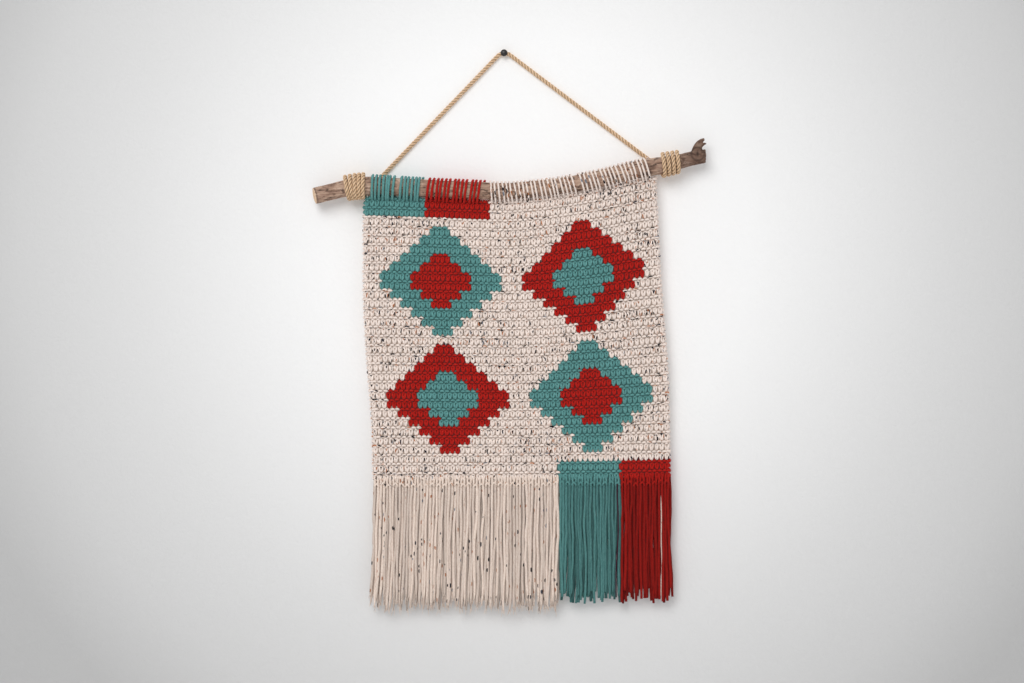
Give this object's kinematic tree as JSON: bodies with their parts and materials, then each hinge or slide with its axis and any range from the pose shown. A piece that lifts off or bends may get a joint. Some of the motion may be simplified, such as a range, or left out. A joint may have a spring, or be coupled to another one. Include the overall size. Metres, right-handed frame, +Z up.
{
  "type": "crochet tapestry on a driftwood branch with rope hanger and wall pin",
  "caption": "Crocheted wall hanging lashed to a driftwood branch, with stepped diamonds in teal and red on cream tweed, a knotted fringe and a jute rope hanger over a wall pin.",
  "frame": {"origin": "on the wall where the pin enters it", "axes": "+Z up, +X to the viewer's right, +Y into the wall; the hanging faces -Y"},
  "size_m": [0.5146, 0.0396, 0.7364],
  "materials": {
    "bark": "rough grey-brown bark",
    "yarn_cream": "cream tweed yarn with dark and rust flecks",
    "yarn_teal": "matte teal yarn",
    "yarn_red": "matte brick-red yarn",
    "jute": "twisted jute rope",
    "pin": "satin black"
  },
  "bodies": {
    "root": {"branch": "bark", "panel": "yarn_cream", "lashing_teal": "yarn_teal", "lashing_red": "yarn_red", "lashing_cream": "yarn_cream", "fringe_cream": "yarn_cream", "fringe_teal": "yarn_teal", "fringe_red": "yarn_red", "hanger_cord": "jute", "wrap_left": "jute", "wrap_right": "jute", "wall_pin": "pin"}
  },
  "joints": []
}
